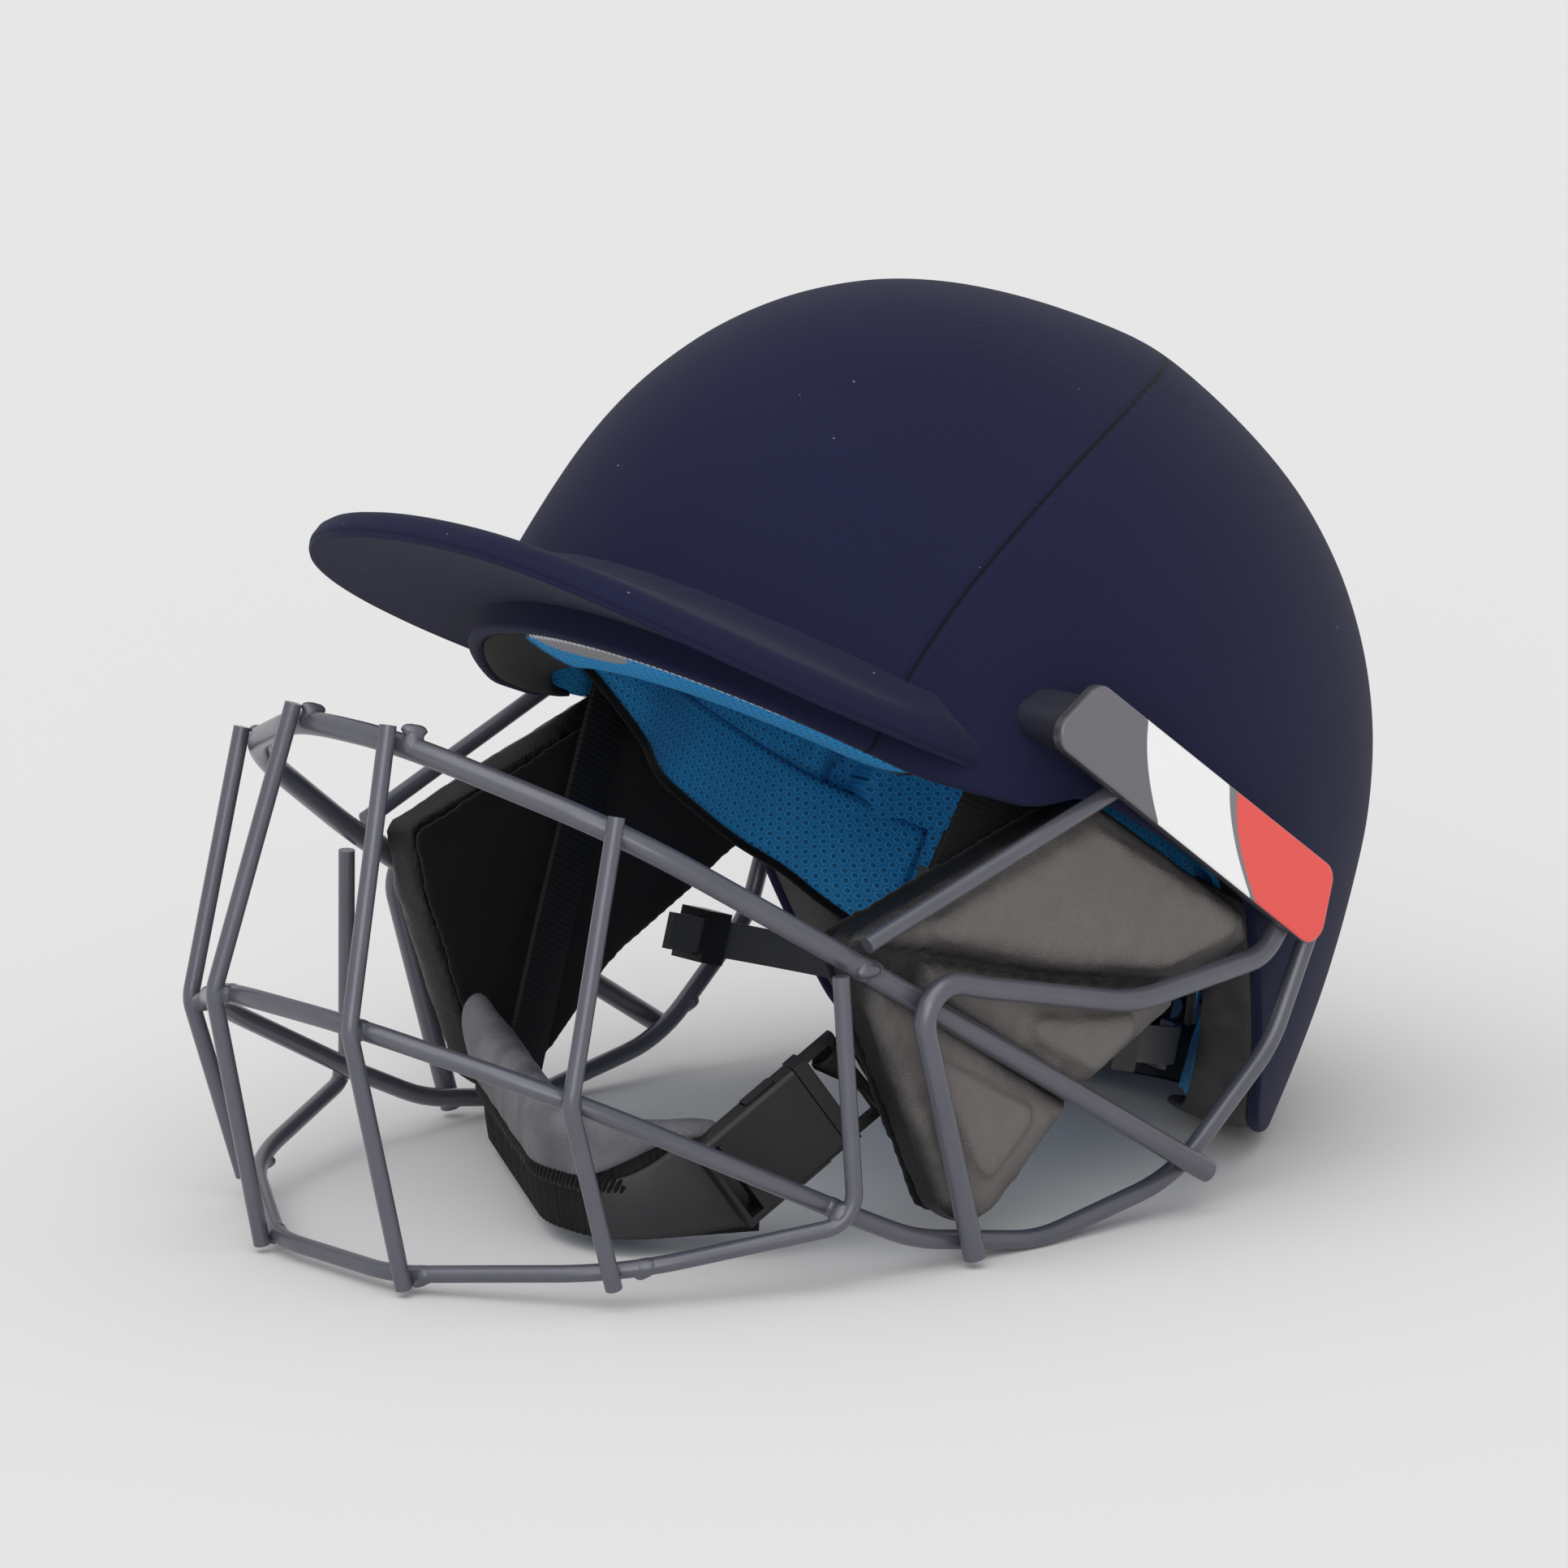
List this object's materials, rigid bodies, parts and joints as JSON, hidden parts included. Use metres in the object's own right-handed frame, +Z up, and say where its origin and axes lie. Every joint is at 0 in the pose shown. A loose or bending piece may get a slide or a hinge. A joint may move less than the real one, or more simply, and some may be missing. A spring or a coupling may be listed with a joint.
{
  "type": "cricket helmet",
  "caption": "Cricket helmet with a cloth-covered shell, padded peak, welded wire face guard, ear pads, chin strap with side-release buckle and a dial at the nape.",
  "frame": {"origin": "middle of the underside's bounding box, on the surface the helmet stands on", "axes": "+X to the wearer's left, +Y towards the back of the head, +Z up; the helmet is tipped back 32 degrees to rest on the guard's side rings and the nape"},
  "size_m": [0.2252, 0.3538, 0.2322],
  "materials": {
    "shell_moulding": "smooth moulded",
    "cover_knit": "fine knitted cloth",
    "impact_foam": "bead foam",
    "pad_lining": "brushed lining",
    "black_trim": "soft edge binding",
    "grey_leather": "soft grained",
    "pad_leather": "soft grained",
    "coated_steel": "satin powder coat",
    "zinc_steel": "zinc plated",
    "black_plastic": "fine textured",
    "grey_plastic": "satin",
    "black_webbing": "ribbed weave"
  },
  "bodies": {
    "helmet": {"outer_shell": "shell_moulding", "cover_front_panel": "cover_knit", "cover_rear_panel": "cover_knit", "cover_brow_strip": "cover_knit", "peak_top_pad": "cover_knit", "peak_under_pad": "cover_knit", "impact_liner": "impact_foam", "brow_pad": "pad_lining", "rear_pad": "pad_lining", "crown_pad": "pad_lining", "side_pad_left": "pad_lining", "side_pad_right": "pad_lining", "brow_trim": "black_trim", "nape_trim_left": "grey_leather", "nape_trim_right": "grey_leather", "guard_top_bar": "coated_steel", "guard_middle_bar": "coated_steel", "guard_bottom_bar": "coated_steel", "guard_inner_uprights": "coated_steel", "guard_outer_uprights": "coated_steel", "guard_ear_bar_left": "coated_steel", "guard_ear_bar_right": "coated_steel", "guard_temple_bar_left": "coated_steel", "guard_temple_bar_right": "coated_steel", "guard_clamp_left": "black_plastic", "guard_clamp_right": "black_plastic", "side_plate_left": "grey_plastic", "side_plate_right": "grey_plastic", "plate_screws": "zinc_steel", "ear_pad_left": "pad_leather", "ear_pad_right": "pad_leather", "ear_lining_left": "pad_lining", "ear_lining_right": "pad_lining", "strap_rivets": "zinc_steel", "adjuster_case_back": "black_plastic", "adjuster_case_front": "black_plastic", "adjuster_rivets": "zinc_steel", "band_guide_left": "black_plastic", "band_guide_right": "black_plastic"},
    "strap": {"strap_left": "black_webbing", "strap_right": "black_webbing", "cup_webbing": "black_webbing", "chin_cup": "grey_leather", "buckle_socket": "black_plastic", "buckle_plug": "black_plastic"},
    "arm_front": {"buckle_arm_front": "black_plastic"},
    "arm_back": {"buckle_arm_back": "black_plastic"},
    "slider": {"strap_slider": "black_plastic"},
    "dial": {"adjuster_dial": "black_plastic", "adjuster_pinion": "black_plastic"},
    "band_left": {"nape_band_left": "grey_plastic"},
    "band_right": {"nape_band_right": "grey_plastic"}
  },
  "joints": [
    {"name": "strap_swing", "type": "hinge", "parent": "helmet", "child": "strap", "pos_m": [0, 0.00185, 0.12087], "axis": [-1, 0, 0], "range_deg": [0, 15]},
    {"name": "arm_front_press", "type": "slide", "parent": "strap", "child": "arm_front", "axis": [0.2452, 0.5213, -0.8174], "range_m": [0, 0.0024], "stiffness_N_per_m": 400},
    {"name": "arm_back_press", "type": "slide", "parent": "strap", "child": "arm_back", "axis": [-0.2452, -0.5213, 0.8174], "range_m": [0, 0.0024], "stiffness_N_per_m": 400},
    {"name": "slider_slide", "type": "slide", "parent": "strap", "child": "slider", "axis": [-0.1054, -0.438, -0.8928], "range_m": [-0.008, 0.015]},
    {"name": "dial_turn", "type": "hinge", "parent": "helmet", "child": "dial", "pos_m": [0, 0.10861, 0.02212], "axis": [0, 0.9613, -0.2756], "range_deg": [0, 205]},
    {"name": "band_left_draw", "type": "hinge", "parent": "helmet", "child": "band_left", "pos_m": [0, 0.03075, 0.04444], "axis": [0, 0.2756, 0.9613], "range_deg": [0, 12.1]},
    {"name": "band_right_draw", "type": "hinge", "parent": "helmet", "child": "band_right", "pos_m": [0, 0.03075, 0.04444], "axis": [0, 0.2756, 0.9613], "range_deg": [-12.1, 0]}
  ],
  "couplings": [
    {"joint": "band_left_draw", "follows": "dial_turn", "ratio": 0.058442},
    {"joint": "band_right_draw", "follows": "dial_turn", "ratio": -0.058442}
  ]
}
